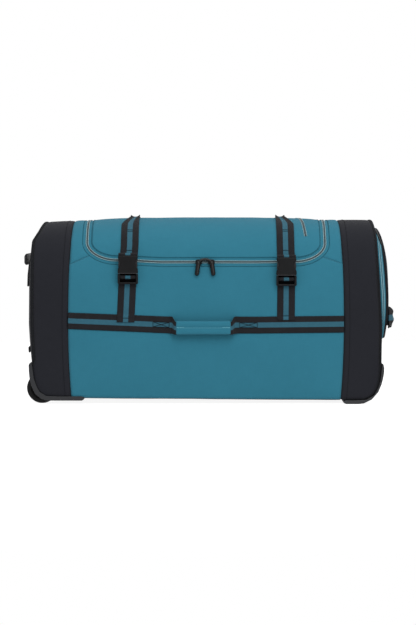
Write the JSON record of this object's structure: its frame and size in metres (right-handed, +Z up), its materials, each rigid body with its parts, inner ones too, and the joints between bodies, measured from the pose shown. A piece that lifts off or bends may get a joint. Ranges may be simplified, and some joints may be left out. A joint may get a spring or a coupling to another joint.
{
  "type": "wheeled duffel bag",
  "caption": "Large soft travel duffel with wheels at one end, a zipped lid, buckled closing straps, webbing carry handles and moulded corners.",
  "frame": {"origin": "on the floor under the middle of the bag's whole length and depth", "axes": "+X along the bag away from the wheels, -Y towards the front wall with the carry handle, +Z up"},
  "size_m": [0.811, 0.3814, 0.4056],
  "materials": {
    "teal_cloth": "plain woven polyester, matt",
    "black_cloth": "heavy woven polyester, matt",
    "webbing": "ribbed webbing, black with a teal stripe",
    "zip": "coil zip on teal tape",
    "plastic": "fine moulded texture",
    "moulding": "satin moulded",
    "tyre": "ribbed tread",
    "steel": "plain pin"
  },
  "bodies": {
    "bag": {"front_panel": "teal_cloth", "back_panel": "teal_cloth", "left_top_strip": "teal_cloth", "right_top_strip": "teal_cloth", "lid": "teal_cloth", "end_pocket_gusset": "teal_cloth", "front_handle_grip": "teal_cloth", "base_panel": "black_cloth", "left_end_cap": "black_cloth", "right_end_cap": "black_cloth", "left_end_panel": "black_cloth", "right_end_panel": "black_cloth", "end_pocket_panel": "black_cloth", "left_piping": "black_cloth", "right_piping": "black_cloth", "left_strap_upper": "webbing", "left_strap_lower": "webbing", "right_strap_upper": "webbing", "right_strap_lower": "webbing", "front_band": "webbing", "end_handle": "webbing", "lid_zip": "zip", "lid_pocket_zip": "zip", "end_pocket_zip": "zip", "left_buckle_socket": "plastic", "left_buckle_plug": "plastic", "right_buckle_socket": "plastic", "right_buckle_plug": "plastic", "zip_slider_left": "plastic", "zip_slider_right": "plastic", "zip_pull_left": "plastic", "zip_pull_right": "plastic", "end_zip_pull": "plastic", "wheel_housing_front": "moulding", "wheel_housing_back": "moulding", "corner_guard_front": "moulding", "corner_guard_back": "moulding", "foot_plate": "moulding", "foot_bar": "moulding", "end_rib": "moulding", "axle_front": "steel", "axle_back": "steel"},
    "front_wheel": {"wheel_front": "tyre"},
    "back_wheel": {"wheel_back": "tyre"}
  },
  "joints": [
    {"name": "front_wheel_spin", "type": "hinge", "parent": "bag", "child": "front_wheel", "pos_m": [-0.361, -0.128, 0.033], "axis": [0, 1, 0], "continuous": true},
    {"name": "back_wheel_spin", "type": "hinge", "parent": "bag", "child": "back_wheel", "pos_m": [-0.361, 0.148, 0.033], "axis": [0, 1, 0], "continuous": true}
  ]
}
